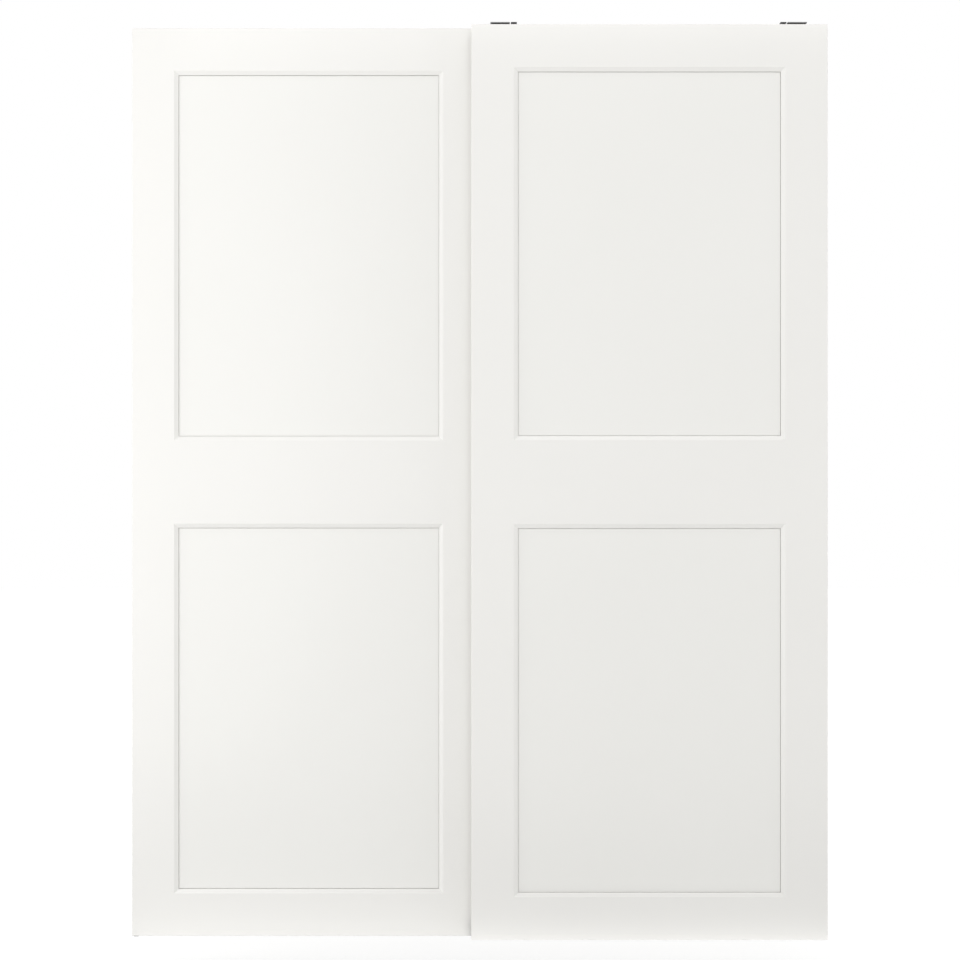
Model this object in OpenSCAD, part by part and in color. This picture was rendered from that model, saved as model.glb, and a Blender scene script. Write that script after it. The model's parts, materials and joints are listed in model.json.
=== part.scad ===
// Pair of framed wardrobe doors that hang in front of a cabinet and slide past each other.
// The origin is the middle of the row of screw holes in the top track, on the cabinet's roof.
// +Z is up, +X is to the right seen from the room, and the room is on the -Y side.

/* [Doors] */
// Width of one door
door_w = 765; // [600:1:1100]
// Height of one door
door_h = 1966; // [1600:1:2400]
// Thickness of a door's frame
door_t = 20; // [18:0.5:24]
// Overlap of the closed doors
overlap = 30; // [20:1:60]
// Gap between the front door and the rear door
door_gap = 16; // [14:0.5:24]
// Gap between the rear door and the front of the cabinet
cabinet_gap = 7; // [6.5:0.5:12]

/* [Frame joinery] */
// Face width of a stile
stile_w = 91; // [91:1:130]
// Face height of the top rail and of the bottom rail
rail_h = 92; // [70:1:140]
// Face height of the middle rail
mid_rail_h = 180; // [120:1:260]
// Width of the sloping edge round a panel
slope_w = 9.2; // [8:0.2:12]
// Depth that the slope falls
slope_d = 4.5; // [4:0.5:5.5]
// Thickness of the lip in front of a panel
lip_t = 4; // [3:0.5:4.5]
// Depth from the foot of the slope to the raised field of a panel
field_drop = 1.5; // [0.5:0.5:2]
// Gap between the frame and the raised field of a panel
field_gap = 0.8; // [0.5:0.1:1.5]
// Rounding of the doors' outer edges
edge_r = 1.2; // [0.5:0.1:2]
// Depth of the panel groove behind the lip
groove_d = 8; // [5:0.5:8]
// Thickness of a panel
panel_t = 5; // [4:0.5:6]
// Clearance between a panel and its groove
panel_fit = 0.2; // [0.1:0.05:0.4]
// Diameter of a dowel
dowel_d = 8; // [6:1:10]
// Length of a dowel
dowel_l = 40; // [30:1:50]
// Distance of a rail's dowels from its edges
dowel_inset = 24; // [18:1:30]

/* [Top track] */
// Width of the track's base
track_w = 50; // [50:1:60]
// Thickness of the base
track_t = 2.5; // [2:0.1:3]
// Distance from the middle of the base to each rib
lane_y = 13; // [12.5:0.5:14]
// Height of the ribs above the cabinet's roof
rib_h = 8.5; // [8:0.1:8.7]
// Thickness of a rib
rib_t = 3; // [2.5:0.1:3.2]
// Height of the lips along the base's edges
track_lip_h = 6; // [4:0.5:8]
// Thickness of the lips
track_lip_t = 1.5; // [1:0.1:2]
// Thickness of the end caps of both tracks
cap_t = 2; // [1.5:0.1:3]
// Length of the tongue that holds a cap
cap_tongue = 10; // [6:1:14]
// Diameter of the fixing holes in both tracks
fix_hole_d = 5; // [4:0.5:6]
// Number of fixing holes in each track
fix_holes = 4; // [3:1:6]
// Distance of the outermost fixing holes from the tracks' ends
fix_inset = 88; // [60:1:120]

/* [Wheels and carriages] */
// Radius at which a wheel rolls on its rib
roll_r = 8; // [8:0.1:8.2]
// Outer radius of a wheel
wheel_r = 10.5; // [10.3:0.1:10.6]
// Width of a wheel
wheel_w = 8; // [7:0.5:8.5]
// Clearance between a wheel's groove and its rib
roll_gap = 0.3; // [0.2:0.05:0.4]
// Diameter of an axle
axle_d = 4; // [3:0.5:5]
// Radial clearance of a wheel on its axle
axle_fit = 0.05; // [0.03:0.01:0.08]
// Distance between the two wheels of a carriage
wheelbase = 40; // [38:1:44]
// Length of a carriage
carriage_l = 68; // [68:1:76]
// Width of a carriage
carriage_w = 14; // [14:0.5:16]
// Thickness of a carriage's roof
carriage_roof = 2.2; // [1.8:0.1:2.4]
// Clearance round a wheel in its carriage
wheel_room = 0.8; // [0.6:0.1:1]
// Thickness of the side walls of a carriage
cheek_t = 2.4; // [2:0.1:2.6]

/* [Hangers, arms and levers] */
// Thickness of the pressed steel pieces
steel_t = 2; // [1.8:0.1:2.2]
// Width of a hanger
hanger_w = 42; // [40:1:44]
// Distance from a door's edge to the middle of a hanger
hanger_u = 62; // [62:1:80]
// Depth that a hanger reaches down behind its door
hanger_drop = 56; // [50:1:80]
// Height of the rear hanger's shelf above the door's top
shelf_rise = 1; // [1:0.1:1.2]
// Clearance between the rear height screws and the arms that pass over them
arm_clear = 2; // [1:0.1:3]
// Height that the arm's edges are turned up
arm_edge_h = 6.4; // [5:0.1:6.6]
// Slope of the turned up edges where they start
arm_edge_run = 3.75; // [3:0.25:5]
// Length of the arm's seat on its hanger
seat_l = 19; // [18:1:20]
// Diameter of a rivet
rivet_d = 4; // [3:0.5:5]
// Width of a lock lever
lever_w = 13; // [11:0.5:14]
// Gap between an arm and its lock lever
lever_gap = 2.2; // [1:0.1:3]
// Width of the nose of a lock lever
nose_w = 4.5; // [3:0.5:6]
// Depth that the nose turns down
nose_drop = 4.4; // [3:0.2:4.6]
// Thickness of the nose, front to back
nose_t = 4; // [3:0.5:6]
// Diameter of a lever's pin
lever_pin_d = 4; // [3:0.5:4]
// Diameter of a height screw
height_screw_d = 6; // [5:0.5:6]
// Diameter of the collar on a height screw
collar_d = 11; // [10:0.5:12]
// Thickness of the collar
collar_h = 1; // [0.8:0.1:1.5]
// Thickness of a lock nut
nut_h = 2.2; // [2:0.1:3]
// Length of a height screw that shows above its nut
screw_end = 0.4; // [0.2:0.1:1]

/* [Bottom track and guides] */
// Width of the bottom track
guide_track_w = 40; // [40:1:50]
// Thickness of the bottom track's web
web_t = 2; // [1.6:0.1:2.5]
// Thickness of the walls beside the grooves
wall_t = 1.6; // [1.2:0.1:2]
// Width of a groove
groove_w = 8; // [8:0.1:9]
// Depth of the grooves
wall_h = 15; // [14:0.5:18]
// Distance from the doors' bottom edges up to the groove walls
guide_lift = 1; // [1:0.5:3]
// Diameter of a guide roller
roller_d = 7.4; // [7:0.1:7.6]
// Height of a guide roller
roller_h = 10; // [8:0.5:10.5]
// Diameter of a guide roller's pin
roller_pin_d = 3; // [2.5:0.5:3.5]
// Distance from a door's edge to its guide roller
guide_u = 10; // [9:0.5:14]
// Distance from a door's edge to the foot of its guide bracket
foot_u = 0.5; // [0.5:0.5:3]
// Width of the plate of a guide bracket
guide_plate_w = 40; // [36:1:50]
// Height of the plate of a guide bracket
guide_plate_h = 36; // [30:1:50]
// Thickness of a guide bracket's plate
guide_plate_t = 3; // [2.5:0.1:3.5]
// Width of a guide bracket's foot
foot_w = 10; // [9:0.5:10]
// Distance that the rear foot reaches below the door
rear_foot_drop = 5.6; // [5:0.1:6.5]
// Thickness of the rear foot
rear_foot_t = 3; // [2:0.1:3.5]
// Thickness of the bar of a front guide bracket
bar_t = 2; // [1.6:0.1:2.5]
// Distance that the bar starts below the front door
bar_drop = 4.5; // [4:0.1:6]
// Clearance between the rear feet and the bars that pass under them
bar_clear = 1.2; // [0.8:0.1:2]

/* [Stops and screws] */
// Length of an end stop
stop_l = 20; // [16:0.5:22]
// Width of an end stop
stop_w = 12; // [10:0.5:13]
// Height of an end stop's top above the cabinet's roof
stop_top = 24; // [22:0.5:26]
// Thickness of a rubber buffer
buffer_t = 4; // [3:0.5:5]
// Diameter of a rubber buffer
buffer_d = 9; // [8:0.5:10]
// Gap between a buffer and a carriage at the end of its travel
stop_gap = 0.3; // [0.2:0.1:0.5]
// Diameter of a stop's clamping screw
clamp_screw_d = 4; // [3:0.5:5]
// Diameter of a wood screw
wood_screw_d = 4; // [3.5:0.5:4.5]
// Length of a wood screw in the wood
wood_screw_l = 13; // [10:0.5:14]
// Height of a wood screw's head
screw_head_h = 1.8; // [1.5:0.1:2.2]

/* [Hidden] */
round_fn = 64;

// Doors and sides are counted 0 and 1
REAR = 0;
FRONT = 1;
LEFT = 0;
RIGHT = 1;

// Small fits
hole_fit = 0.05;
flat_fit = 0.15;

// The pair and its place
pair_w = 2 * door_w - overlap;
cabinet_y = -track_w / 2;
door_x = [-pair_w / 2, pair_w / 2 - door_w];
rear_y = cabinet_y - cabinet_gap - door_t;
door_y = [rear_y, rear_y - door_gap - door_t];
door_back = [door_y[REAR] + door_t, door_y[FRONT] + door_t];
lane = [-lane_y, lane_y];

// Frame profile
panel_front = slope_d + lip_t;
groove_t = panel_t + 2 * panel_fit;
opening_w = door_w - 2 * stile_w;
opening_h = (door_h - 2 * rail_h - mid_rail_h) / 2;
edge_steps = 6;
dowel_v = panel_front + groove_t / 2;

// Levels of the running gear
axle_z = rib_h + roll_r;
carriage_foot = rib_h + 1;
carriage_top = axle_z + wheel_r + wheel_room + carriage_roof;
shelf_z = carriage_top + collar_h;
arm_z = shelf_z + steel_t + nut_h + screw_end + arm_clear;
carry_z = [shelf_z, arm_z];
carriage_crown = [carriage_top, arm_z - collar_h];
riser_l = 28;
wheel_flare = 1.2;
wheel_edge = 0.5;
axle_head_h = 1;
axle_head_d = axle_d + 2.4;
door_top = shelf_z - shelf_rise;
door_bottom = door_top - door_h;

// Hangers and arms
shelf_y = lane[REAR] + carriage_w / 2 + 1;
arm_front = door_back[FRONT];
arm_back = lane[FRONT] + carriage_w / 2 + 2;
step_y = door_y[REAR] - 1.5;
seat_back = step_y - steel_t + seat_l;
seat_z = arm_z - steel_t;
rivet_y = door_y[REAR] + 7;
rivet_head = 1;
rivet_spread = 10;
edge_start = door_y[REAR] + 8;
edge_full = edge_start + arm_edge_h * arm_edge_run;

// Lock levers
lever_u = hanger_u + hanger_w / 2 + lever_gap + lever_w / 2;
lever_y = rivet_y + 1;
ear = 5;
lever_t = steel_t - flat_fit;
lever_base = arm_z + flat_fit;

// Bottom track and guides
wall_foot = door_bottom + guide_lift;
web_z = wall_foot + wall_h;
guide_top = web_z + web_t;
roller_z = wall_foot + 1.5;
rear_foot_z = door_bottom - rear_foot_drop;
bar_z = rear_foot_z - bar_clear - bar_t;
bar_high = door_bottom - bar_drop;
bar_step = door_y[REAR] + 2;
bar_w = guide_u + 5 - foot_u;
plate_foot = 4;
pin_shoulder_d = roller_pin_d + 2;
roller_play = 0.2;

// Stops
track_end = pair_w / 2 - cap_t;
carriage_end = pair_w / 2 - (hanger_u - carriage_l / 2);
stop_face = carriage_end + stop_gap;
buffer_z = (carriage_foot + carriage_top) / 2 - 1;
buffer_peg_d = 3;
buffer_peg_l = 4;

// Colours
foil = [0.93, 0.93, 0.91];
board = [0.91, 0.91, 0.89];
steel = [0.28, 0.29, 0.30];
zinc = [0.68, 0.69, 0.70];
alu = [0.78, 0.79, 0.80];
plastic = [0.13, 0.13, 0.14];
grey_plastic = [0.42, 0.43, 0.44];
nylon = [0.88, 0.87, 0.84];
rubber = [0.06, 0.06, 0.06];
beech = [0.80, 0.66, 0.47];

// Puts a piece that is drawn from a door's left edge at one end of a door
module at_end(door, side) {
    if (side == LEFT)
        translate([door_x[door], 0, 0]) children();
    else
        translate([door_x[door] + door_w, 0, 0]) mirror([1, 0, 0]) children();
}

// Puts a piece at a door's lower left front corner
module at_door(door) {
    translate([door_x[door], door_y[door], door_bottom]) children();
}

// Turns an outline of depth and height into a bar along X
module along_x(length) {
    rotate([90, 0, 90]) linear_extrude(length) children();
}

module y_cylinder(d, y0, y1) {
    translate([0, y1, 0]) rotate([90, 0, 0]) cylinder(d = d, h = y1 - y0, $fn = round_fn);
}

module x_cylinder(d, x0, x1) {
    translate([x0, 0, 0]) rotate([0, 90, 0]) cylinder(d = d, h = x1 - x0, $fn = round_fn);
}

module z_cylinder(d, z0, z1) {
    translate([0, 0, z0]) cylinder(d = d, h = z1 - z0, $fn = round_fn);
}

// Rounded corner from direction a0 to a1 about a centre
function corner(cx, cy, a0, a1) = [
    for (i = [0 : edge_steps])
        let (a = a0 + (a1 - a0) * i / edge_steps)
        [cx + edge_r * cos(a), cy + edge_r * sin(a)]
];

// The side of a frame member that holds a panel: slope, lip, groove and back wall, from front to back
function panel_side(face) = [
    [face, 0],
    [face + slope_w, slope_d],
    [face + slope_w, panel_front],
    [face + slope_w - groove_d, panel_front],
    [face + slope_w - groove_d, panel_front + groove_t],
    [face + slope_w, panel_front + groove_t],
    [face + slope_w, door_t]
];

// Width across a door against depth from its front face, with the outer edges rounded
function stile_outline() = concat(
    corner(edge_r, edge_r, 180, 270),
    panel_side(stile_w),
    corner(edge_r, door_t - edge_r, 90, 180)
);

function rail_outline() = concat(
    corner(edge_r, edge_r, 180, 270),
    panel_side(rail_h),
    corner(edge_r, door_t - edge_r, 90, 180)
);

function mid_rail_outline() = concat(
    panel_side(mid_rail_h),
    [for (i = [6 : -1 : 0]) let (p = panel_side(0)[i]) [-p[0], p[1]]]
);

module stile_bar() {
    linear_extrude(door_h) polygon(stile_outline());
}

module both_stiles() {
    stile_bar();
    translate([door_w, 0, 0]) mirror([1, 0, 0]) stile_bar();
}

// Heights of the dowels above a door's bottom edge
mid_foot = rail_h + opening_h;
dowel_levels = [
    dowel_inset, rail_h - dowel_inset,
    mid_foot + dowel_inset, mid_foot + mid_rail_h - dowel_inset,
    door_h - rail_h + dowel_inset, door_h - dowel_inset
];

module dowel_set(extra) {
    middle = stile_w + slope_w / 2;
    half = dowel_l / 2 + extra;
    for (x = [middle, door_w - middle])
        for (z = dowel_levels)
            translate([x, dowel_v, z]) x_cylinder(dowel_d + 2 * extra, -half, half);
}

// Places of the wood screws on a door's back, from the door's edge and from the door's bottom
hanger_screw_x = 12;
hanger_screw_z = 13;
guide_screw_z = plate_foot + 22;
screw_places = [
    [hanger_u - hanger_screw_x, door_h - hanger_screw_z],
    [hanger_u + hanger_screw_x, door_h - hanger_screw_z],
    [hanger_u - hanger_screw_x, door_h - hanger_drop + hanger_screw_z],
    [hanger_u + hanger_screw_x, door_h - hanger_drop + hanger_screw_z],
    [foot_u + 14, guide_screw_z],
    [foot_u + guide_plate_w - 8, guide_screw_z]
];
hanger_screws = [0 : 3];
guide_screws = [4 : 5];

// Screw holes and dowel holes of a door, from its lower left front corner
module frame_holes() {
    dowel_set(hole_fit);
    for (p = screw_places)
        for (x = [p[0], door_w - p[0]])
            translate([x, 0, p[1]])
                y_cylinder(wood_screw_d + 2 * hole_fit, door_t - wood_screw_l - 0.5, door_t + 1);
}

module stile(door, side) {
    color(foil) at_door(door) difference() {
        if (side == LEFT) stile_bar();
        else translate([door_w, 0, 0]) mirror([1, 0, 0]) stile_bar();
        frame_holes();
    }
}

// A rail reaches over the stiles' slopes and fills their grooves at its ends
module rail_blank(outline) {
    translate([stile_w, 0, 0]) along_x(opening_w) polygon([for (p = outline) [p[1], p[0]]]);
}

// Cuts a rail to the stiles and drills it
module rail(door) {
    color(foil) at_door(door) difference() {
        children();
        both_stiles();
        frame_holes();
    }
}

module bottom_rail(door) {
    rail(door) rail_blank(rail_outline());
}

module middle_rail(door) {
    rail(door) translate([0, 0, mid_foot]) rail_blank(mid_rail_outline());
}

module top_rail(door) {
    rail(door) translate([0, 0, door_h]) mirror([0, 0, 1]) rail_blank(rail_outline());
}

// Panel: its edge lies in the frame's grooves, and its field stands forward between the slopes
module panel(door, level) {
    hidden = slope_w - groove_d + panel_fit;
    color(board) at_door(door) {
        panel_layer(level, hidden, panel_front + panel_fit, panel_t);
        panel_layer(level, slope_w + field_gap, slope_d + field_drop, lip_t - field_drop + panel_fit + 1);
    }
}

module panel_layer(level, inset, depth, thickness) {
    translate([stile_w + inset, depth, level + inset])
        cube([opening_w - 2 * inset, thickness, opening_h - 2 * inset]);
}

module dowels(door) {
    color(beech) at_door(door) dowel_set(0);
}

// Top track: a base with a rib for each door and a lip along each edge
module rib(y) {
    translate([y - rib_t / 2, 0]) square([rib_t, rib_h - rib_t / 2]);
    translate([y, rib_h - rib_t / 2]) circle(d = rib_t, $fn = round_fn);
}

module track_section() {
    translate([-track_w / 2, 0]) square([track_w, track_t]);
    translate([-track_w / 2, 0]) square([track_lip_t, track_lip_h]);
    translate([track_w / 2 - track_lip_t, 0]) square([track_lip_t, track_lip_h]);
    for (y = lane)
        rib(y);
}

module fixing_holes(z0, z1) {
    fix_pitch = 2 * (track_end - fix_inset) / (fix_holes - 1);
    for (i = [0 : fix_holes - 1])
        translate([(i - (fix_holes - 1) / 2) * fix_pitch, 0, 0]) z_cylinder(fix_hole_d, z0, z1);
}

module top_track() {
    color(alu) difference() {
        translate([-track_end, 0, 0]) along_x(2 * track_end) track_section();
        fixing_holes(-1, track_t + 1);
    }
}

module top_cap(side) {
    cap_h = rib_h + 2;
    tongue_w = 2 * lane_y - stop_w - 0.6;
    color(grey_plastic) mirror([side == LEFT ? 1 : 0, 0, 0]) {
        translate([track_end, 0, 0]) along_x(cap_t)
            polygon([
                [-track_w / 2, 0], [track_w / 2, 0], [track_w / 2, cap_h - 3],
                [track_w / 2 - 3, cap_h], [3 - track_w / 2, cap_h], [-track_w / 2, cap_h - 3]
            ]);
        translate([track_end - cap_tongue, -tongue_w / 2, track_t])
            cube([cap_tongue, tongue_w, 3]);
    }
}

// End stops straddle a rib and are clamped on it
module stop_block(lane_at) {
    slot = rib_t + 0.4;
    for (side = [LEFT, RIGHT])
        mirror([side == LEFT ? 1 : 0, 0, 0])
            difference() {
                translate([stop_face + buffer_t, lane_at - stop_w / 2, track_t])
                    rotate([90, 0, 90]) linear_extrude(stop_l)
                        polygon([
                            [0, 0], [stop_w, 0], [stop_w, stop_top - track_t - 2],
                            [stop_w - 2, stop_top - track_t], [2, stop_top - track_t],
                            [0, stop_top - track_t - 2]
                        ]);
                translate([stop_face, lane_at - slot / 2, 0]) cube([stop_l + 20, slot, rib_h + 0.2]);
                translate([stop_face + buffer_t + stop_l / 2, lane_at, 0])
                    z_cylinder(clamp_screw_d + 2 * hole_fit, rib_h, stop_top + 1);
                translate([0, lane_at, buffer_z])
                    x_cylinder(buffer_peg_d + 2 * hole_fit, stop_face, stop_face + buffer_t + buffer_peg_l + 0.5);
            }
}

module lane_stops(door) {
    color(zinc) stop_block(lane[door]);
}

module stop_buffers() {
    color(rubber)
        for (side = [LEFT, RIGHT])
            for (y = lane)
                mirror([side == LEFT ? 1 : 0, 0, 0]) translate([0, y, buffer_z]) {
                    x_cylinder(buffer_d, stop_face, stop_face + buffer_t);
                    x_cylinder(buffer_peg_d, stop_face, stop_face + buffer_t + buffer_peg_l);
                }
}

// Grub screws with a hexagonal socket, tightened on the rib
module stop_screws() {
    color(zinc)
        for (side = [LEFT, RIGHT])
            for (y = lane)
                mirror([side == LEFT ? 1 : 0, 0, 0])
                    translate([stop_face + buffer_t + stop_l / 2, y, 0]) difference() {
                        z_cylinder(clamp_screw_d, rib_h + 0.3, stop_top - 1);
                        translate([0, 0, stop_top - 4]) cylinder(r = 1.15, h = 4, $fn = 6);
                    }
}

// Bottom track: a web under the cabinet with a groove for each door, open downwards
module bottom_track() {
    color(alu) difference() {
        translate([-track_end, 0, 0]) along_x(2 * track_end) {
            translate([-guide_track_w / 2, web_z]) square([guide_track_w, web_t]);
            for (y = lane)
                for (s = [-1, 1])
                    translate([y + s * (groove_w + wall_t) / 2 - wall_t / 2, wall_foot])
                        square([wall_t, wall_h + web_t / 2]);
        }
        fixing_holes(web_z - 1, guide_top + 1);
    }
}

module bottom_track_caps() {
    tongue_w = 2 * lane_y - groove_w - 2 * wall_t - 0.6;
    color(grey_plastic)
        for (side = [LEFT, RIGHT])
            mirror([side == LEFT ? 1 : 0, 0, 0]) {
                translate([track_end, -guide_track_w / 2, wall_foot])
                    cube([cap_t, guide_track_w, guide_top - wall_foot]);
                translate([track_end - cap_tongue, -tongue_w / 2, web_z - 3])
                    cube([cap_tongue, tongue_w, 3]);
            }
}

// Grooved wheel, turned about Y
module wheel(door, side, place) {
    bottom_r = roll_r - roll_gap;
    half = wheel_w / 2;
    land = rib_t / 2 + 0.2;
    color(nylon) at_end(door, side)
        translate([hanger_u + place * wheelbase / 2, lane[door], axle_z])
            rotate([90, 0, 0]) rotate_extrude($fn = round_fn)
                polygon([
                    [axle_d / 2 + axle_fit, -half], [wheel_r - wheel_edge, -half], [wheel_r, wheel_edge - half],
                    [wheel_r, -land - wheel_flare], [bottom_r, -land], [bottom_r, land],
                    [wheel_r, land + wheel_flare], [wheel_r, half - wheel_edge], [wheel_r - wheel_edge, half],
                    [axle_d / 2 + axle_fit, half]
                ]);
}

// Carriage: a housing over two wheels, with a block between them for the height screw
module carriage(door, side) {
    half = carriage_l / 2;
    pocket = 2 * (wheel_r + wheel_room);
    pocket_w = carriage_w - 2 * cheek_t;
    chamfer = 4;
    riser = carriage_crown[door] - carriage_top;
    color(grey_plastic) at_end(door, side) translate([hanger_u, lane[door], 0]) difference() {
        union() {
            translate([0, carriage_w / 2, 0]) rotate([90, 0, 0]) linear_extrude(carriage_w)
                polygon([
                    [-half, carriage_foot], [half, carriage_foot], [half, carriage_top - chamfer],
                    [half - chamfer, carriage_top], [chamfer - half, carriage_top],
                    [-half, carriage_top - chamfer]
                ]);
            if (door == FRONT)
                translate([-riser_l / 2, -carriage_w / 2, carriage_top - 1])
                    cube([riser_l, carriage_w, riser + 1]);
        }
        for (s = [-1, 1])
            translate([s * wheelbase / 2, 0, 0]) {
                translate([-pocket / 2, -pocket_w / 2, 0])
                    cube([pocket, pocket_w, carriage_top - carriage_roof]);
                translate([0, 0, axle_z])
                    y_cylinder(axle_d + 2 * hole_fit, -carriage_w, carriage_w);
            }
        z_cylinder(height_screw_d + 2 * hole_fit, carriage_foot + 2, carriage_crown[door] + 1);
    }
}

// Wheel axles with a head at each end, and the pins of the guide rollers
module axles(door) {
    half = carriage_w / 2;
    color(zinc) for (side = [LEFT, RIGHT]) at_end(door, side) {
        for (s = [-1, 1])
            translate([hanger_u + s * wheelbase / 2, lane[door], axle_z]) {
                y_cylinder(axle_d, -half - axle_head_h, half + axle_head_h);
                y_cylinder(axle_head_d, -half - axle_head_h, -half);
                y_cylinder(axle_head_d, half, half + axle_head_h);
            }
        translate([guide_u, lane[door], 0]) {
            roller_top = roller_z + roller_h;
            z_cylinder(roller_pin_d, guide_foot_z(door), roller_top + axle_head_h);
            z_cylinder(pin_shoulder_d, guide_foot_top(door), roller_z - roller_play);
            z_cylinder(pin_shoulder_d, roller_top + roller_play, roller_top + axle_head_h);
        }
    }
}

function guide_foot_z(door) = door == REAR ? rear_foot_z : bar_z;
function guide_foot_top(door) = door == REAR ? rear_foot_z + rear_foot_t : bar_z + bar_t;

// Height screws: the collar carries the hanger or the arm, and a nut locks it from above
module height_screws(door) {
    top = carry_z[door] + steel_t;
    color(zinc) for (side = [LEFT, RIGHT])
        at_end(door, side) translate([hanger_u, lane[door], 0]) {
            difference() {
                union() {
                    z_cylinder(height_screw_d, carriage_foot + 4, top + nut_h + screw_end);
                    z_cylinder(collar_d, carry_z[door] - collar_h, carry_z[door]);
                }
                translate([0, 0, top]) cylinder(r = 1.75, h = nut_h + 2, $fn = 6);
            }
            difference() {
                translate([0, 0, top]) cylinder(r = 5.5, h = nut_h, $fn = 6);
                z_cylinder(height_screw_d + 2 * hole_fit, top - 1, top + nut_h + 1);
            }
        }
}

// Wood screws that hold the hangers and the guide brackets on a door's back
module wood_screws(door) {
    color(zinc) for (side = [LEFT, RIGHT])
        at_end(door, side) {
            wood_screw_row(door, hanger_screws, steel_t);
            wood_screw_row(door, guide_screws, guide_plate_t);
        }
}

module wood_screw_row(door, row, plate) {
    for (i = row)
        translate([screw_places[i][0], door_back[door], door_bottom + screw_places[i][1]]) {
            y_cylinder(wood_screw_d, -wood_screw_l, plate + screw_head_h);
            y_cylinder(2 * wood_screw_d, plate, plate + screw_head_h);
        }
}

// Screw holes through a plate on a door's back
module plate_holes(door, row) {
    for (i = row)
        translate([screw_places[i][0], door_back[door], door_bottom + screw_places[i][1]])
            y_cylinder(wood_screw_d + 2 * hole_fit, -1, 6);
}

// Rear hanger: an angle with its shelf over the carriage and a gusset at each side
module rear_hanger(side) {
    back = door_back[REAR];
    foot = door_top - hanger_drop;
    gusset_y = lane[REAR] - carriage_w / 2 - axle_head_h - 0.5;
    gusset_h = 24;
    color(steel) at_end(REAR, side) translate([hanger_u - hanger_w / 2, 0, 0]) difference() {
        union() {
            along_x(hanger_w)
                polygon([
                    [back, foot], [back + steel_t, foot], [back + steel_t, shelf_z],
                    [shelf_y, shelf_z], [shelf_y, shelf_z + steel_t], [back, shelf_z + steel_t]
                ]);
            for (x = [0, hanger_w - steel_t])
                translate([x, 0, 0]) along_x(steel_t)
                    polygon([
                        [back + 1, shelf_z - gusset_h], [gusset_y, shelf_z - gusset_h / 3],
                        [gusset_y, shelf_z + 1], [back + 1, shelf_z + 1]
                    ]);
        }
        translate([hanger_w / 2, lane[REAR], 0])
            z_cylinder(height_screw_d + 2 * hole_fit, shelf_z - 1, shelf_z + steel_t + 1);
        translate([hanger_w / 2 - hanger_u, 0, 0]) plate_holes(REAR, hanger_screws);
    }
}

// Front hanger: its top steps back and up to a seat that clears the rear door's top edge
module front_hanger(side) {
    back = door_back[FRONT];
    foot = door_top - hanger_drop;
    color(steel) at_end(FRONT, side) difference() {
        union() {
            translate([hanger_u - hanger_w / 2, 0, 0]) along_x(hanger_w)
                polygon([
                    [back, foot], [back + steel_t, foot], [back + steel_t, shelf_z],
                    [step_y, shelf_z], [step_y, seat_z], [seat_back, seat_z], [seat_back, arm_z],
                    [step_y - steel_t, arm_z], [step_y - steel_t, shelf_z + steel_t],
                    [back, shelf_z + steel_t]
                ]);
            translate([hanger_u, lever_y - ear, seat_z])
                cube([lever_u + ear - hanger_u, 2 * ear, steel_t]);
        }
        for (s = [-1, 1])
            translate([hanger_u + s * rivet_spread, rivet_y, 0])
                z_cylinder(rivet_d + 2 * hole_fit, seat_z - 1, arm_z + 1);
        translate([lever_u, lever_y, 0]) z_cylinder(lever_pin_d + 2 * hole_fit, seat_z - 1, arm_z + 1);
        plate_holes(FRONT, hanger_screws);
    }
}

// Arm: a plate from the front hanger over the rear door to the far carriage, with its edges turned up
module front_arm(side) {
    color(steel) at_end(FRONT, side) difference() {
        union() {
            translate([hanger_u - hanger_w / 2, arm_front, arm_z])
                cube([hanger_w, arm_back - arm_front, steel_t]);
            for (u = [hanger_u - hanger_w / 2, hanger_u + hanger_w / 2 - steel_t])
                translate([u, 0, 0]) along_x(steel_t)
                    polygon([
                        [edge_start, arm_z + 1], [arm_back, arm_z + 1],
                        [arm_back, arm_z + steel_t + arm_edge_h],
                        [edge_full, arm_z + steel_t + arm_edge_h], [edge_start, arm_z + steel_t]
                    ]);
        }
        for (s = [-1, 1])
            translate([hanger_u + s * rivet_spread, rivet_y, 0])
                z_cylinder(rivet_d + 2 * hole_fit, arm_z - 1, arm_z + steel_t + 1);
        translate([hanger_u, lane[FRONT], 0])
            z_cylinder(height_screw_d + 2 * hole_fit, arm_z - 1, arm_z + steel_t + 1);
    }
}

// Lock lever: turns about an upright pin, with a nose turned down at its free end
module front_lever(side) {
    tip_y = arm_front + 0.4;
    color(plastic) at_end(FRONT, side) difference() {
        union() {
            translate([lever_u - lever_w / 2, tip_y, lever_base])
                cube([lever_w, lever_y - tip_y, lever_t]);
            translate([lever_u, lever_y, 0]) z_cylinder(lever_w, lever_base, lever_base + lever_t);
            translate([lever_u + lever_w / 2 - nose_w, tip_y, lever_base - nose_drop])
                cube([nose_w, nose_t, nose_drop + 1]);
        }
        translate([lever_u, lever_y, 0])
            z_cylinder(lever_pin_d + 2 * axle_fit, lever_base - 1, lever_base + lever_t + 1);
    }
}

// Rivets of the arms and pins of the lock levers, each with a flat head above and below
module front_rivets() {
    color(zinc) for (side = [LEFT, RIGHT]) at_end(FRONT, side) {
        for (s = [-1, 1])
            translate([hanger_u + s * rivet_spread, rivet_y, 0])
                rivet(rivet_d, arm_z + steel_t);
        translate([lever_u, lever_y, 0]) rivet(lever_pin_d, arm_z + steel_t + flat_fit);
    }
}

module rivet(d, head_z) {
    z_cylinder(d, seat_z - rivet_head, head_z + rivet_head);
    z_cylinder(d + 3, seat_z - rivet_head, seat_z);
    z_cylinder(d + 3, head_z, head_z + rivet_head);
}

module guide_plate(door) {
    translate([foot_u, door_back[door], door_bottom + plate_foot])
        cube([guide_plate_w, guide_plate_t, guide_plate_h]);
}

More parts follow.
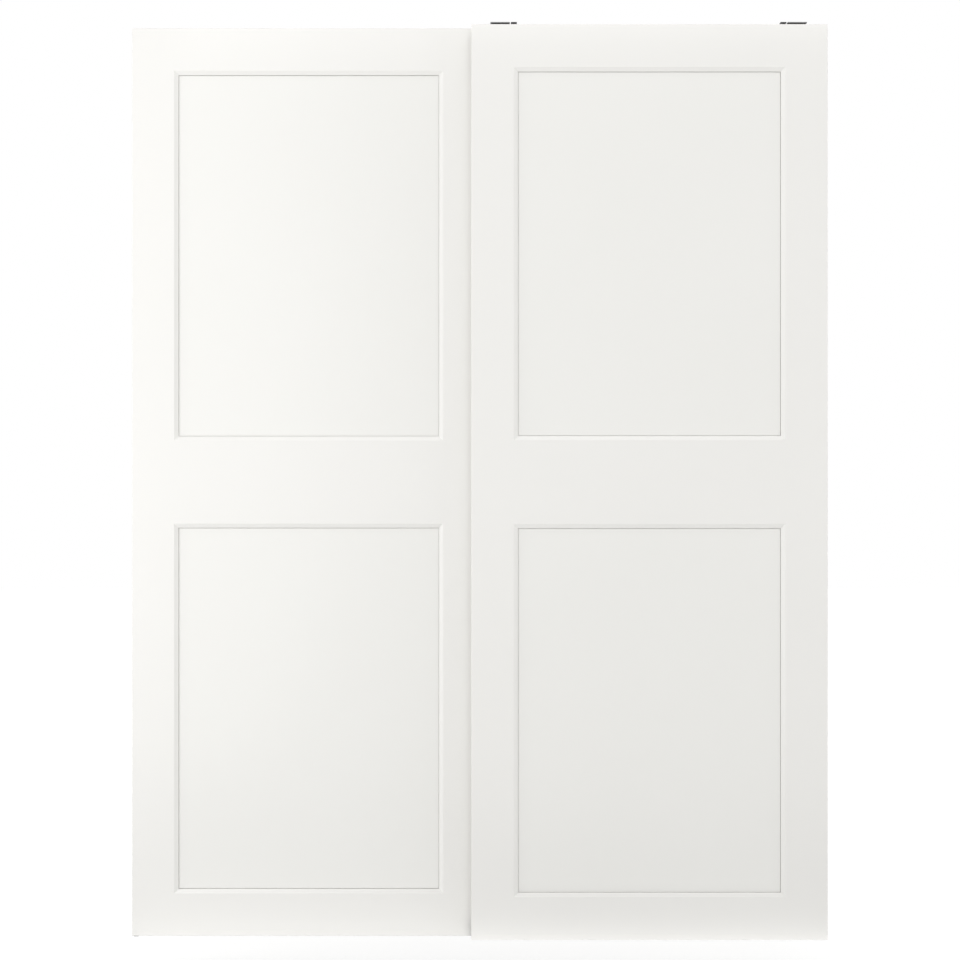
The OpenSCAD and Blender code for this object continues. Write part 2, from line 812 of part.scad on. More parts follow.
// Rear guide bracket: a plate on the door's back, with a foot under the near groove
module rear_guide(side) {
    back = door_back[REAR];
    pad_y = back + guide_plate_t + 1;
    foot_end = lane[REAR] + 5;
    color(plastic) at_end(REAR, side) difference() {
        union() {
            guide_plate(REAR);
            translate([foot_u, 0, 0]) along_x(foot_w)
                polygon([
                    [back, rear_foot_z], [foot_end, rear_foot_z],
                    [foot_end, rear_foot_z + rear_foot_t],
                    [pad_y + rear_foot_t, rear_foot_z + rear_foot_t],
                    [back + guide_plate_t, door_bottom + plate_foot],
                    [back + guide_plate_t, door_bottom + plate_foot + 1],
                    [back, door_bottom + plate_foot + 1]
                ]);
            translate([foot_u, pad_y, rear_foot_z]) cube([bar_w, foot_end - pad_y, rear_foot_t]);
        }
        translate([guide_u, lane[REAR], 0])
            z_cylinder(roller_pin_d + 2 * hole_fit, rear_foot_z - 1, rear_foot_z + rear_foot_t + 1);
        plate_holes(REAR, guide_screws);
    }
}

// Front guide bracket: its bar passes under the rear door and the rear feet to the far groove
module front_guide(side) {
    back = door_back[FRONT];
    bar_end = lane[FRONT] + 5;
    color(steel) at_end(FRONT, side) difference() {
        union() {
            guide_plate(FRONT);
            translate([foot_u, 0, 0]) along_x(bar_w)
                polygon([
                    [back, bar_high], [bar_step, bar_high], [bar_step, bar_z], [bar_end, bar_z],
                    [bar_end, bar_z + bar_t], [bar_step + bar_t, bar_z + bar_t],
                    [bar_step + bar_t, bar_high + bar_t], [back + guide_plate_t, bar_high + bar_t],
                    [back + guide_plate_t, door_bottom + plate_foot + 1],
                    [back, door_bottom + plate_foot + 1]
                ]);
        }
        translate([guide_u, lane[FRONT], 0])
            z_cylinder(roller_pin_d + 2 * hole_fit, bar_z - 1, bar_z + bar_t + 1);
        plate_holes(FRONT, guide_screws);
    }
}

// Guide roller, turning about an upright pin in a groove
module roller(door, side) {
    bore = roller_pin_d / 2 + axle_fit;
    rim = roller_d / 2;
    color(nylon) at_end(door, side) translate([guide_u, lane[door], roller_z])
        rotate_extrude($fn = round_fn)
            polygon([
                [bore, 0], [rim - 0.6, 0], [rim, 0.6], [rim, roller_h - 0.6],
                [rim - 0.6, roller_h], [bore, roller_h]
            ]);
}

top_track();
top_cap(LEFT);  // top_track_cap_left
top_cap(RIGHT);  // top_track_cap_right
lane_stops(REAR);  // rear_lane_stops
lane_stops(FRONT);  // front_lane_stops
stop_buffers();
stop_screws();
bottom_track();
bottom_track_caps();
stile(REAR, LEFT);  // rear_left_stile
stile(REAR, RIGHT);  // rear_right_stile
top_rail(REAR);  // rear_top_rail
middle_rail(REAR);  // rear_middle_rail
bottom_rail(REAR);  // rear_bottom_rail
panel(REAR, mid_foot + mid_rail_h);  // rear_upper_panel
panel(REAR, rail_h);  // rear_lower_panel
dowels(REAR);  // rear_dowels
rear_hanger(LEFT);  // rear_hanger_left
rear_hanger(RIGHT);  // rear_hanger_right
carriage(REAR, LEFT);  // rear_carriage_left
carriage(REAR, RIGHT);  // rear_carriage_right
wheel(REAR, LEFT, -1);  // rear_wheel_left_outer
wheel(REAR, LEFT, 1);  // rear_wheel_left_inner
wheel(REAR, RIGHT, 1);  // rear_wheel_right_inner
wheel(REAR, RIGHT, -1);  // rear_wheel_right_outer
axles(REAR);  // rear_axles
height_screws(REAR);  // rear_height_screws
wood_screws(REAR);  // rear_screws
rear_guide(LEFT);  // rear_guide_left
rear_guide(RIGHT);  // rear_guide_right
roller(REAR, LEFT);  // rear_roller_left
roller(REAR, RIGHT);  // rear_roller_right
stile(FRONT, LEFT);  // front_left_stile
stile(FRONT, RIGHT);  // front_right_stile
top_rail(FRONT);  // front_top_rail
middle_rail(FRONT);  // front_middle_rail
bottom_rail(FRONT);  // front_bottom_rail
panel(FRONT, mid_foot + mid_rail_h);  // front_upper_panel
panel(FRONT, rail_h);  // front_lower_panel
dowels(FRONT);  // front_dowels
front_hanger(LEFT);  // front_hanger_left
front_hanger(RIGHT);  // front_hanger_right
front_arm(LEFT);  // front_arm_left
front_arm(RIGHT);  // front_arm_right
front_lever(LEFT);  // front_lever_left
front_lever(RIGHT);  // front_lever_right
front_rivets();
carriage(FRONT, LEFT);  // front_carriage_left
carriage(FRONT, RIGHT);  // front_carriage_right
wheel(FRONT, LEFT, -1);  // front_wheel_left_outer
wheel(FRONT, LEFT, 1);  // front_wheel_left_inner
wheel(FRONT, RIGHT, 1);  // front_wheel_right_inner
wheel(FRONT, RIGHT, -1);  // front_wheel_right_outer
axles(FRONT);  // front_axles
height_screws(FRONT);  // front_height_screws
wood_screws(FRONT);  // front_screws
front_guide(LEFT);  // front_guide_left
front_guide(RIGHT);  // front_guide_right
roller(FRONT, LEFT);  // front_roller_left
roller(FRONT, RIGHT);  // front_roller_right
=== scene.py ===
import json
import math

import bmesh
import bpy
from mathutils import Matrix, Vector


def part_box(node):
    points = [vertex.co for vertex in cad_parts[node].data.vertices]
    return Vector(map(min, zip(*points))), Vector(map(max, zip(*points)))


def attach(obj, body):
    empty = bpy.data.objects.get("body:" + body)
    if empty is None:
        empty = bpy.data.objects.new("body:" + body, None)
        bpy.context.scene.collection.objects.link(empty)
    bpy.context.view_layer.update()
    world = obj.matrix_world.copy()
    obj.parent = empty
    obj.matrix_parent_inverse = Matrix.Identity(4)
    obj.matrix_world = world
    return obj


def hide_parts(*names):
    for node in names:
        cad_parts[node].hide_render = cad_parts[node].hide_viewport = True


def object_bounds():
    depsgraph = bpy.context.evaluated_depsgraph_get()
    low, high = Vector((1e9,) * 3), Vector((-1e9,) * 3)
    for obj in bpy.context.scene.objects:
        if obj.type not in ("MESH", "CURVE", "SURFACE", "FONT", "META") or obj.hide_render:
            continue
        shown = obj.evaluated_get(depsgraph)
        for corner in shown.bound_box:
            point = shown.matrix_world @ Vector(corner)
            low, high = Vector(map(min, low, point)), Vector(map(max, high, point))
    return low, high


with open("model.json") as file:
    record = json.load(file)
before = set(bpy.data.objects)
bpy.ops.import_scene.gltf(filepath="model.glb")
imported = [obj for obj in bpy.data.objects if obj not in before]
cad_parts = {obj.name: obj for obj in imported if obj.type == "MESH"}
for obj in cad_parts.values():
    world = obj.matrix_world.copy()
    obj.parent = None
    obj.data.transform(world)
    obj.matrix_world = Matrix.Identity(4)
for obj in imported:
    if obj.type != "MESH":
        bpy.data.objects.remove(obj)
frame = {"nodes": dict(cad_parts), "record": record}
cad_box = [list(corner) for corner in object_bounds()]

# Sizes of the doors, in metres
MM = 0.001
STILE_W = 91 * MM
RAIL_H = 92 * MM
MID_RAIL_H = 180 * MM
SLOPE_W = 9.2 * MM
SLOPE_D = 4.5 * MM
LIP_T = 4 * MM
FIELD_DROP = 1.5 * MM      # from the foot of the slope to the face of the panel
FIELD_GAP = 0.8 * MM       # between the frame and the raised field of a panel
GROOVE_D = 8 * MM
PANEL_T = 5 * MM
PANEL_FIT = 0.2 * MM
PANEL_FRONT = SLOPE_D + LIP_T
GROOVE_T = PANEL_T + 2 * PANEL_FIT

# Rounded and softened edges of the doors, in metres
EDGE_R = 1.2 * MM          # a door's outer edges
SLOPE_R = 1.0 * MM         # where the slope leaves the face
LIP_R = 0.45 * MM          # at the foot of the slope
BACK_R = 0.5 * MM          # round the panels at the back
PANEL_R = 0.4 * MM         # a panel's edges
JOINT = 0.3 * MM           # a rail's end, where it meets a stile
LEDGE = 0.02 * MM          # slant of a groove's sides and of a tongue's shoulder
ARC_STEPS = 6

CORNER = math.radians(28)  # an edge sharper than this stays a corner

DOORS = ("rear", "front")
SIDES = ("left", "right")


# Materials

EVEN = (1, 1, 1)
NOISE_DETAIL = 3.0
SOFT, CRISP = 0.5, 0.6     # share of the fine parts in a noise
MIDDLE = (0.3, 0.7)        # the range in which most values of a noise lie
GLOSS_PATCHES = 7          # patches of roughness for each patch of colour


def new_material(name):
    mat = bpy.data.materials.new(name)
    mat.use_nodes = True
    tree = mat.node_tree
    shader = next(n for n in tree.nodes if n.type == "BSDF_PRINCIPLED")
    return mat, tree, shader


def noise(tree, scale, stretch, roughness):
    """Noise in the part's own frame, in cycles per metre along each axis times stretch."""
    coords = tree.nodes.new("ShaderNodeTexCoord")
    mapping = tree.nodes.new("ShaderNodeMapping")
    mapping.inputs["Scale"].default_value = stretch
    tex = tree.nodes.new("ShaderNodeTexNoise")
    tex.inputs["Scale"].default_value = scale
    tex.inputs["Detail"].default_value = NOISE_DETAIL
    tex.inputs["Roughness"].default_value = roughness
    tree.links.new(coords.outputs["Object"], mapping.inputs["Vector"])
    tree.links.new(mapping.outputs["Vector"], tex.inputs["Vector"])
    return tex.outputs["Fac"]


def spread(tree, value, low, high):
    """A noise's middle range taken to low..high."""
    node = tree.nodes.new("ShaderNodeMapRange")
    node.inputs["From Min"].default_value = MIDDLE[0]
    node.inputs["From Max"].default_value = MIDDLE[1]
    node.inputs["To Min"].default_value = low
    node.inputs["To Max"].default_value = high
    tree.links.new(value, node.inputs["Value"])
    return node.outputs["Result"]


def two_tone(tree, value, first, second):
    node = tree.nodes.new("ShaderNodeMix")
    node.data_type = "RGBA"
    node.inputs["A"].default_value = (*first, 1)
    node.inputs["B"].default_value = (*second, 1)
    tree.links.new(spread(tree, value, 0.0, 1.0), node.inputs["Factor"])
    return node.outputs["Result"]


def bump(tree, height, distance):
    node = tree.nodes.new("ShaderNodeBump")
    node.inputs["Distance"].default_value = distance
    tree.links.new(height, node.inputs["Height"])
    return node.outputs["Normal"]


def surface(name, tones, rough, grain, patch, metallic=0.0, specular=0.5):
    """A finish with slightly varied colour and roughness and a fine relief.

    grain is (cycles per metre, depth, stretch) of the relief; patch is the colour's cycles per metre.
    """
    mat, tree, shader = new_material(name)
    cycles, depth, stretch = grain
    tint = noise(tree, patch, EVEN, SOFT)
    gloss = noise(tree, patch * GLOSS_PATCHES, stretch, CRISP)
    relief = noise(tree, cycles, stretch, CRISP)
    tree.links.new(two_tone(tree, tint, *tones), shader.inputs["Base Color"])
    tree.links.new(spread(tree, gloss, *rough), shader.inputs["Roughness"])
    tree.links.new(bump(tree, relief, depth), shader.inputs["Normal"])
    shader.inputs["Metallic"].default_value = metallic
    shader.inputs["Specular IOR Level"].default_value = specular
    mat.diffuse_color = (*tones[0], 1)
    return mat


# What surface() takes for each finish
LOOKS = {
    "white_foil_frame": {
        "tones": ((0.860, 0.851, 0.824), (0.851, 0.842, 0.815)), "rough": (0.215, 0.235),
        "grain": (1200, 0.002 * MM, EVEN), "patch": 2.5,
    },
    # the panel's tones are a touch darker than the frame's: painted shade of the panel's recess
    "white_foil_panel": {
        "tones": ((0.855, 0.849, 0.820), (0.847, 0.841, 0.811)), "rough": (0.205, 0.225),
        "grain": (1200, 0.002 * MM, EVEN), "patch": 2.5,
    },
    "dark_steel": {
        "tones": ((0.050, 0.052, 0.055), (0.062, 0.063, 0.066)), "rough": (0.42, 0.56),
        "grain": (1400, 0.03 * MM, EVEN), "patch": 30,
    },
    "arm_steel": {
        "tones": ((0.230, 0.232, 0.235), (0.255, 0.257, 0.260)), "rough": (0.36, 0.48),
        "grain": (1400, 0.02 * MM, EVEN), "patch": 30,
    },
    "zinc": {
        "tones": ((0.52, 0.53, 0.54), (0.58, 0.57, 0.53)), "rough": (0.26, 0.42),
        "grain": (500, 0.01 * MM, EVEN), "patch": 60, "metallic": 1.0,
    },
    "track_aluminium": {
        "tones": ((0.60, 0.605, 0.61), (0.66, 0.66, 0.66)), "rough": (0.32, 0.46),
        "grain": (600, 0.008 * MM, (0.02, 1, 1)), "patch": 3, "metallic": 1.0,
    },
    "grey_plastic": {
        "tones": ((0.165, 0.168, 0.172), (0.185, 0.188, 0.190)), "rough": (0.40, 0.52),
        "grain": (1100, 0.03 * MM, EVEN), "patch": 25,
    },
    "black_plastic": {
        "tones": ((0.022, 0.022, 0.024), (0.030, 0.030, 0.032)), "rough": (0.38, 0.50),
        "grain": (1100, 0.03 * MM, EVEN), "patch": 25,
    },
    "nylon": {
        "tones": ((0.74, 0.73, 0.69), (0.79, 0.78, 0.75)), "rough": (0.30, 0.40),
        "grain": (700, 0.01 * MM, EVEN), "patch": 40,
    },
    "rubber": {
        "tones": ((0.018, 0.018, 0.018), (0.028, 0.028, 0.028)), "rough": (0.70, 0.85),
        "grain": (900, 0.04 * MM, EVEN), "patch": 40, "specular": 0.3,
    },
    "beech": {
        "tones": ((0.60, 0.42, 0.26), (0.50, 0.33, 0.19)), "rough": (0.50, 0.62),
        "grain": (260, 0.05 * MM, (0.12, 1, 1)), "patch": 30,
    },
}
FINISHES = {name: surface(name, **look) for name, look in LOOKS.items()}
SLOTS = {row["node"]: row["material_slot"] for row in frame["record"]["subparts"]}
ARMS = ("front_arm_left", "front_arm_right")


def finish_of(node):
    """The material of a node; the arms show a lighter coat than the other dark steel."""
    return FINISHES["arm_steel" if node in ARMS else SLOTS[node]]


for name, node in frame["nodes"].items():
    node.data.materials.clear()
    node.data.materials.append(finish_of(name))


# The doors

door_box = {d: (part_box(f"{d}_left_stile")[0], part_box(f"{d}_right_stile")[1]) for d in DOORS}
DOOR_W = door_box["rear"][1].x - door_box["rear"][0].x
DOOR_T = door_box["rear"][1].y - door_box["rear"][0].y
DOOR_H = door_box["rear"][1].z - door_box["rear"][0].z
OPENING_H = (DOOR_H - 2 * RAIL_H - MID_RAIL_H) / 2
MID_FOOT = RAIL_H + OPENING_H
DEPTH_DIGITS = 8           # depths that agree to these decimals are one depth


def arc(radius, top):
    """Depths and offsets along a rounded corner that starts flat and turns by the angle top."""
    return [(radius * (1 - math.cos(top * i / ARC_STEPS)), radius * math.sin(top * i / ARC_STEPS))
            for i in range(ARC_STEPS + 1)]


def inner_side():
    """(depth, reach past the face) of the side that holds a panel, from front to back."""
    slope = math.atan2(SLOPE_D, SLOPE_W)
    start = SLOPE_R * math.tan(slope / 2)
    line = [(d, w - start) for d, w in arc(SLOPE_R, slope)]
    turn = math.pi / 2 - slope
    setback = LIP_R * math.tan(turn / 2)
    for i in range(ARC_STEPS + 1):
        a = slope + turn * i / ARC_STEPS
        line.append((SLOPE_D + setback - LIP_R * math.cos(a), SLOPE_W - LIP_R + LIP_R * math.sin(a)))
    line += [
        (PANEL_FRONT, SLOPE_W), (PANEL_FRONT + LEDGE, SLOPE_W - GROOVE_D),
        (PANEL_FRONT + GROOVE_T, SLOPE_W - GROOVE_D), (PANEL_FRONT + GROOVE_T + LEDGE, SLOPE_W),
    ]
    line += [(DOOR_T - d, SLOPE_W - BACK_R + w) for d, w in reversed(arc(BACK_R, math.pi / 2))]
    return line


INNER = inner_side()
DEPTHS = sorted({round(d, DEPTH_DIGITS) for d, _ in INNER}
                | {round(d, DEPTH_DIGITS) for d, _ in arc(EDGE_R, math.pi / 2)}
                | {round(DOOR_T - d, DEPTH_DIGITS) for d, _ in arc(EDGE_R, math.pi / 2)}
                | {JOINT, DOOR_T - JOINT})


def reach_at(d):
    """How far the side that holds a panel reaches past the face at a depth."""
    if d <= INNER[0][0]:
        return INNER[0][1]
    for (d0, w0), (d1, w1) in zip(INNER, INNER[1:]):
        if d <= d1:
            return w0 if d1 == d0 else w0 + (w1 - w0) * (d - d0) / (d1 - d0)
    return INNER[-1][1]


def outer_inset(d):
    """How far a door's rounded outer edge stands back at a depth."""
    near = min(d, DOOR_T - d)
    if near >= EDGE_R:
        return 0.0
    return EDGE_R - math.sqrt(max(0.0, EDGE_R ** 2 - (EDGE_R - near) ** 2))


def joint_inset(d):
    """How far a rail's softened end stands back from the stile at a depth."""
    return max(0.0, JOINT - min(d, DOOR_T - d))


def shaded(mesh):
    """Smooth faces with sharp corners kept."""
    mesh.polygons.foreach_set("use_smooth", [True] * len(mesh.polygons))
    mesh.set_sharp_from_angle(angle=CORNER)
    mesh.update()


def weighted(obj):
    """Flat faces stay flat beside the narrow rounded ones."""
    mod = obj.modifiers.new("weighted", "WEIGHTED_NORMAL")
    mod.keep_sharp = True


def add_mesh(name, verts, faces, material):
    mesh = bpy.data.meshes.new(name)
    mesh.from_pydata(verts, [], faces)
    mesh.materials.append(material)
    mesh.update()
    obj = bpy.data.objects.new(name, mesh)
    bpy.context.scene.collection.objects.link(obj)
    return obj


def stands_for(obj, body, slot, *nodes):
    """An object becomes the piece for CAD nodes of a body."""
    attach(obj, body)
    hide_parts(*nodes)


def door_piece(door, node, slot, levels, mirrored=False):
    """A closed solid from rectangles (depth, u0, u1, z0, z1) that follow each other from front to back.

    It stands for a node of the door. u runs from the door's left edge, or from its right one when mirrored.
    """
    low, high = door_box[door]
    verts, faces = [], []
    for d, u0, u1, z0, z1 in levels:
        for u, z in ((u0, z0), (u1, z0), (u1, z1), (u0, z1)):
            verts.append((high.x - u if mirrored else low.x + u, low.y + d, low.z + z))
    for k in range(len(levels) - 1):
        for i in range(4):
            j = (i + 1) % 4
            faces.append((4 * k + i, 4 * k + 4 + i, 4 * k + 4 + j, 4 * k + j))
    last = 4 * (len(levels) - 1)
    faces += [(0, 1, 2, 3), (last + 3, last + 2, last + 1, last)]
    if mirrored:
        faces = [tuple(reversed(f)) for f in faces]
    obj = add_mesh(node + "_foil", verts, faces, FINISHES[slot])
    shaded(obj.data)
    weighted(obj)
    stands_for(obj, f"{door}_door", slot, node)


def stile(door, side):
    levels = []
    for d in DEPTHS:
        edge = outer_inset(d)
        levels.append((d, edge, STILE_W + reach_at(d), edge, DOOR_H - edge))
    door_piece(door, f"{door}_{side}_stile", "white_foil_frame", levels, side == "right")


def rail(door, which):
    levels = []
    for d in DEPTHS:
        reach = reach_at(d)
        end = STILE_W + reach + joint_inset(d)
        low, high = {
            "bottom": (outer_inset(d), RAIL_H + reach),
            "middle": (MID_FOOT - reach, MID_FOOT + MID_RAIL_H + reach),
            "top": (DOOR_H - RAIL_H - reach, DOOR_H - outer_inset(d)),
        }[which]
        levels.append((d, end, DOOR_W - end, low, high))
    door_piece(door, f"{door}_{which}_rail", "white_foil_frame", levels)


def panel(door, which):
    hidden = SLOPE_W - GROOVE_D + PANEL_FIT
    field = SLOPE_W + FIELD_GAP
    foot = {"lower": RAIL_H, "upper": MID_FOOT + MID_RAIL_H}[which]
    front = SLOPE_D + FIELD_DROP
    tongue = PANEL_FRONT + PANEL_FIT
    back = tongue + PANEL_T
    corner = [(d, PANEL_R - w) for d, w in arc(PANEL_R, math.pi / 2)]
    insets = [(front + d, field + inset) for d, inset in corner] + [(tongue, field)]
    insets += [(tongue + LEDGE + d, hidden + inset) for d, inset in corner]
    insets += [(back - d, hidden + inset) for d, inset in reversed(corner)]
    levels = [(d, STILE_W + inset, DOOR_W - STILE_W - inset, foot + inset, foot + OPENING_H - inset)
              for d, inset in insets]
    door_piece(door, f"{door}_{which}_panel", "white_foil_panel", levels)


for door in DOORS:
    for side in SIDES:
        stile(door, side)
    for which in ("bottom", "middle", "top"):
        rail(door, which)
    for which in ("lower", "upper"):
        panel(door, which)


# The hardware

BODY_OF = {node: body for body, nodes in frame["record"]["behaviour"]["bodies"].items() for node in nodes}

# Rounding of the corners by finish, in metres
CORNER_R = {
    "dark_steel": 0.3 * MM, "zinc": 0.25 * MM, "track_aluminium": 0.2 * MM, "grey_plastic": 0.4 * MM,
    "black_plastic": 0.35 * MM, "nylon": 0.25 * MM, "rubber": 0.4 * MM,
}
SMALL_CORNER_R = 0.15 * MM
CORNER_STEPS = 2
ROUND_PROFILE = 0.5
FLAT = math.radians(1)     # faces that meet below this angle become one
WELD = 0.001 * MM
PLACE_DIGITS = 5           # places that agree to these decimals are sorted by their next coordinate
LENGTH_DIGITS = 6          # screws whose lengths agree to these decimals share a shape


def in_body(obj, node):
    stands_for(obj, BODY_OF[node], SLOTS[node], node)


def welded(node):
    """An editable mesh of a CAD node, its solids closed."""
    bm = bmesh.new()
    bm.from_mesh(frame["nodes"][node].data)
    bmesh.ops.remove_doubles(bm, verts=bm.verts, dist=WELD)
    return bm


def rounded(node, radius):
    """A CAD node's shape with its corners rounded."""
    bm = welded(node)
    bmesh.ops.dissolve_limit(bm, angle_limit=FLAT, use_dissolve_boundaries=False,
                             verts=bm.verts, edges=bm.edges)
    corners = [e for e in bm.edges if e.is_manifold and e.calc_face_angle() > CORNER]
    bmesh.ops.bevel(bm, geom=corners, offset=radius, offset_type="OFFSET", segments=CORNER_STEPS,
                    profile=ROUND_PROFILE, affect="EDGES", clamp_overlap=False)
    mesh = bpy.data.meshes.new(node)
    bm.to_mesh(mesh)
    bm.free()
    mesh.materials.clear()
    mesh.materials.append(finish_of(node))
    shaded(mesh)
    obj = bpy.data.objects.new(node + "_rounded", mesh)
    bpy.context.scene.collection.objects.link(obj)
    weighted(obj)
    in_body(obj, node)


def solids(node):
    """The corners (low, high) of each separate solid of a CAD node."""
    bm = welded(node)
    left, boxes = set(bm.verts), []
    while left:
        seed = left.pop()
        todo, group = [seed], [seed]
        while todo:
            for edge in todo.pop().link_edges:
                for vert in edge.verts:
                    if vert in left:
                        left.discard(vert)
                        todo.append(vert)
                        group.append(vert)
        boxes.append((Vector([min(v.co[i] for v in group) for i in range(3)]),
                      Vector([max(v.co[i] for v in group) for i in range(3)])))
    bm.free()
    return sorted(boxes, key=lambda box: tuple(round(c, PLACE_DIGITS) for c in (*box[0], *box[1])))


# Turned shapes, built along Z from rings (height, radius at an angle)

# How a shape's point is laid along another axis
TURN = {
    "x": lambda p: (p[2], p[0], p[1]),
    "y": lambda p: (p[0], p[2], -p[1]),
    "z": lambda p: p,
}
HEX_SIDE = math.pi / 3     # the angle of one side of a hexagon
THREAD_STEPS = 8           # rings in one turn of a thread


def circle(radius):
    return lambda angle: radius


def hexagon(corner):
    """A hexagon with a corner on the X axis."""
    return lambda angle: corner * math.cos(HEX_SIDE / 2) / math.cos(angle % HEX_SIDE - HEX_SIDE / 2)


def fluted(radius, flutes, depth):
    return lambda angle: radius - depth * max(0.0, math.cos(angle * flutes)) ** 2


def turned(rings, segments, bored=False):
    """Verts and faces of a closed solid; the ends close on the axis, or on each other when it is bored."""
    verts = [(outline(a) * math.cos(a), outline(a) * math.sin(a), z)
             for z, outline in rings for a in (math.tau * k / segments for k in range(segments))]
    faces = []
    count = len(rings)
    for i in range(count if bored else count - 1):
        first, second = i * segments, (i + 1) % count * segments
        for k in range(segments):
            n = (k + 1) % segments
            faces.append((first + k, first + n, second + n, second + k))
    if not bored:
        low, high = len(verts), len(verts) + 1
        verts += [(0, 0, rings[0][0]), (0, 0, rings[-1][0])]
        last = (count - 1) * segments
        for k in range(segments):
            n = (k + 1) % segments
            faces.append((low, n, k))
            faces.append((high, last + k, last + n))
    return verts, faces


def thread(z0, z1, outer, depth, pitch, half=0.5):
    """Rings of a threaded length that runs out at both ends; half is half the ridge's part of the pitch."""
    steps = max(2, round((z1 - z0) / pitch * THREAD_STEPS))

    def at(z):
        fade = min(1.0, (z - z0) / pitch, (z1 - z) / pitch)

        def outline(angle):
            turn = (z / pitch - angle / math.tau) % 1.0
            ridge = max(0.0, 1 - abs(turn - 0.5) / half)
            return outer - depth + depth * ridge * fade
        return outline
    heights = [z0 + (z1 - z0) * i / steps for i in range(steps + 1)]
    return [(z, at(z)) for z in heights]


def taken_out(shape, tool):
    """Verts and faces of a shape with the tool's shape cut out of it."""
    pair = []
    for verts, faces in (shape, tool):
        mesh = bpy.data.meshes.new("cut")
        mesh.from_pydata(verts, [], faces)
        obj = bpy.data.objects.new("cut", mesh)
        bpy.context.scene.collection.objects.link(obj)
        pair.append(obj)
    mod = pair[0].modifiers.new("cut", "BOOLEAN")
    mod.operation, mod.object, mod.solver = "DIFFERENCE", pair[1], "EXACT"
    result = pair[0].evaluated_get(bpy.context.evaluated_depsgraph_get()).to_mesh()
    out = [tuple(v.co) for v in result.vertices], [tuple(p.vertices) for p in result.polygons]
    for obj in pair:
        bpy.data.objects.remove(obj)
    return out


def several(node, shapes):
    """One piece for a CAD node, from turned shapes (verts, faces, axis, origin)."""
    verts, faces = [], []
    for shape_verts, shape_faces, axis, origin in shapes:
        start = len(verts)
        verts += [tuple(Vector(TURN[axis](p)) + origin) for p in shape_verts]
        faces += [tuple(start + k for k in face) for face in shape_faces]
    obj = add_mesh(node + "_turned", verts, faces, finish_of(node))
    shaded(obj.data)
    in_body(obj, node)


# Sizes of the wood screws, in metres
WOOD_SCREW_R = 2 * MM
SCREW_HEAD_R = 4 * MM
SCREW_HEAD_H = 1.8 * MM
TIP_R = 0.12 * MM
POINT_H = 1.2 * MM
POINT_R = 0.62 * MM        # where the point ends
THREAD_FOOT = 2.4 * MM     # above the tip
THREAD_TOP = 1.6 * MM      # below the head
CORE_TOP = 1.3 * MM        # below the head
NECK_FOOT = 0.6 * MM       # below the head
CREST_IN = 0.02 * MM       # from the screw's radius to the thread's crest
CORE_IN = 0.62 * MM        # from the screw's radius to its core
NECK_IN = 0.05 * MM        # from the screw's radius to the plain neck under the head
WOOD_THREAD_D = 0.6 * MM
WOOD_PITCH = 1.7 * MM
WOOD_RIDGE_HALF = 0.22
HEAD_CHAMFER = 0.12 * MM
HEAD_RIM_H = 0.5 * MM
DOME_STEPS = 8
DOME_POWER = 0.8           # below 1 the head is fuller than a ball
DOME_TOP_R = 0.35 * MM
WOOD_SCREW_SEGMENTS = 32
CROSS_REACH, CROSS_HALF, CROSS_D = 1.9 * MM, 0.42 * MM, 1.35 * MM
CROSS_TAPER = 0.55         # size of the recess's floor against the top of the cutting shape
CROSS_OVER = 0.3 * MM      # height of the cutting shape above the head

# Sizes of the height screws and the stops' grub screws, in metres
HEIGHT_SCREW_R, HEIGHT_PITCH, HEIGHT_SOCKET_R = 3 * MM, 1 * MM, 1.75 * MM
GRUB_R, GRUB_PITCH, GRUB_SOCKET_R, GRUB_SOCKET_D = 2 * MM, 0.7 * MM, 1.15 * MM, 3 * MM
THREAD_SHARE = 0.55        # a thread's depth as a part of its pitch
PLAIN_END = 0.35 * MM      # from a screw's ends to its thread
FOOT_IN = 0.1 * MM         # from the core to the foot's edge
TOP_IN = 0.05 * MM         # from the core to the top's edge
COLLAR_H = 1 * MM
COLLAR_CHAMFER = 0.15 * MM
COLLAR_GAP = 0.02 * MM     # from a thread's end to the collar
SOCKET_MOUTH = 0.15 * MM   # from the socket's corners to the edge of its round mouth
SOCKET_MOUTH_D = 0.2 * MM
SOCKET_SCREW_SEGMENTS = 24

# Sizes of the lock nuts, in metres
NUT_CORNER_R, NUT_BORE_R = 5.5 * MM, 3.2 * MM
NUT_CHAMFER = 0.35 * MM
NUT_FACE_IN = 0.05 * MM    # from the flats to the end faces' edge
NUT_SEGMENTS = 48
STEEL_T = 2 * MM           # of the sheet that a nut sits on
SHORT = 5 * MM             # a nut is shorter than this, a height screw longer

# Sizes of the dowels, in metres
DOWEL_CHAMFER = 1.2 * MM
DOWEL_TAPER = 0.7          # the radius shrinks by this part of the chamfer's length
FLUTES, FLUTE_D = 20, 0.28 * MM
DOWEL_SEGMENTS = 120


def cross(top):
    """A cross-shaped recess that narrows downwards from a screw's top."""
    reach, half = CROSS_REACH, CROSS_HALF
    outline = [
        (reach, -half), (reach, half), (half, half), (half, reach), (-half, reach), (-half, half),
        (-reach, half), (-reach, -half), (-half, -half), (-half, -reach), (half, -reach), (half, -half),
    ]
    corners = len(outline)
    verts = [(x * CROSS_TAPER, y * CROSS_TAPER, top - CROSS_D) for x, y in outline]
    verts += [(x, y, top + CROSS_OVER) for x, y in outline]
    faces = [(i, (i + 1) % corners, corners + (i + 1) % corners, corners + i) for i in range(corners)]
    faces += [tuple(range(corners - 1, -1, -1)), tuple(range(corners, 2 * corners))]
    return verts, faces


